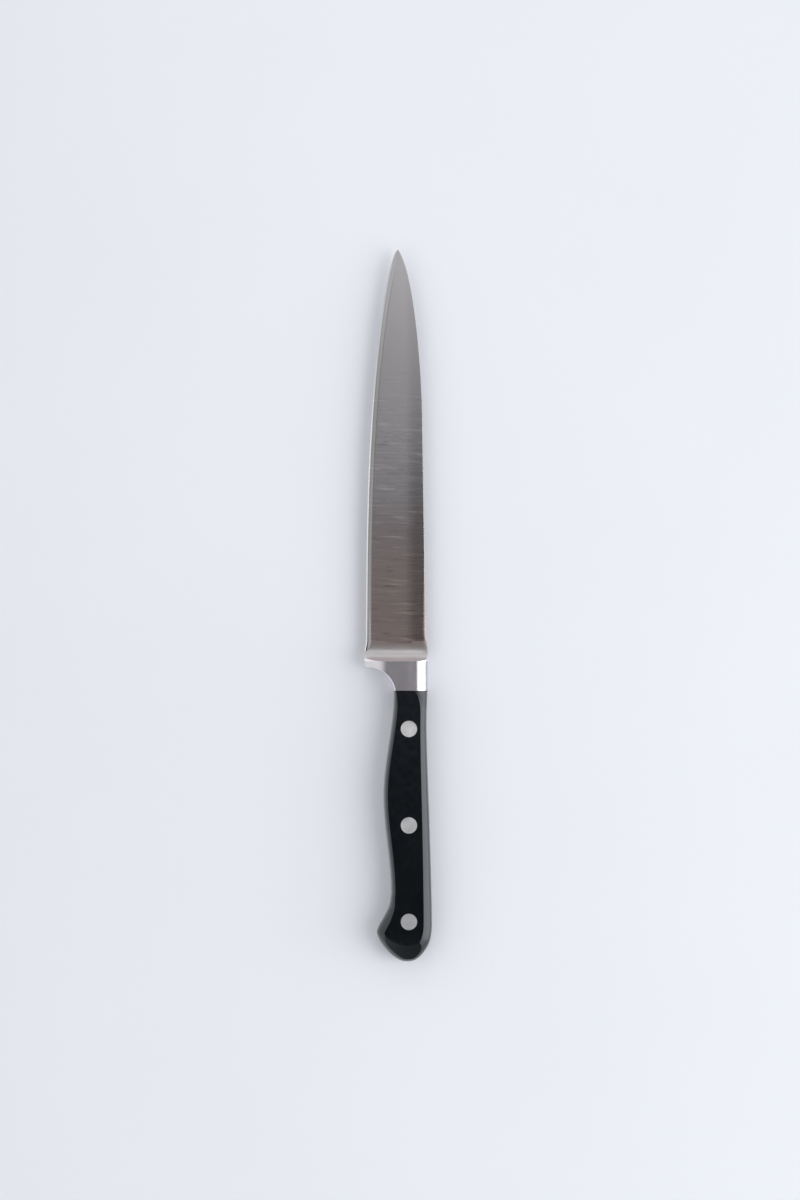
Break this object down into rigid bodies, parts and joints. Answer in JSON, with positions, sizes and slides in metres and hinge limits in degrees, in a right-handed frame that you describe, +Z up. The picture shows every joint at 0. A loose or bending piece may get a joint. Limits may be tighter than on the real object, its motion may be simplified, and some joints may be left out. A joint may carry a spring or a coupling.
{
  "type": "fillet knife",
  "caption": "Slim straight-backed fillet knife with a full tang, polished bolster, riveted black handle scales and a beaked butt, lying on its side.",
  "frame": {"origin": "middle of the knife's outline, on the surface that its right side lies on", "axes": "+Y along the blade towards the tip, -X towards the cutting edge, +X towards the back, +Z up out of the left side"},
  "size_m": [0.0302, 0.3166, 0.0135],
  "materials": {
    "blade_steel": "satin, ground across the blade",
    "bolster_steel": "polished steel",
    "handle_resin": "buffed black resin",
    "rivet_steel": "ground flush with the scales"
  },
  "bodies": {
    "root": {"blade_and_tang": "blade_steel", "left_bolster": "bolster_steel", "right_bolster": "bolster_steel", "left_scale": "handle_resin", "right_scale": "handle_resin", "front_rivet_post": "rivet_steel", "front_rivet_socket": "rivet_steel", "middle_rivet_post": "rivet_steel", "middle_rivet_socket": "rivet_steel", "butt_rivet_post": "rivet_steel", "butt_rivet_socket": "rivet_steel"}
  },
  "joints": []
}
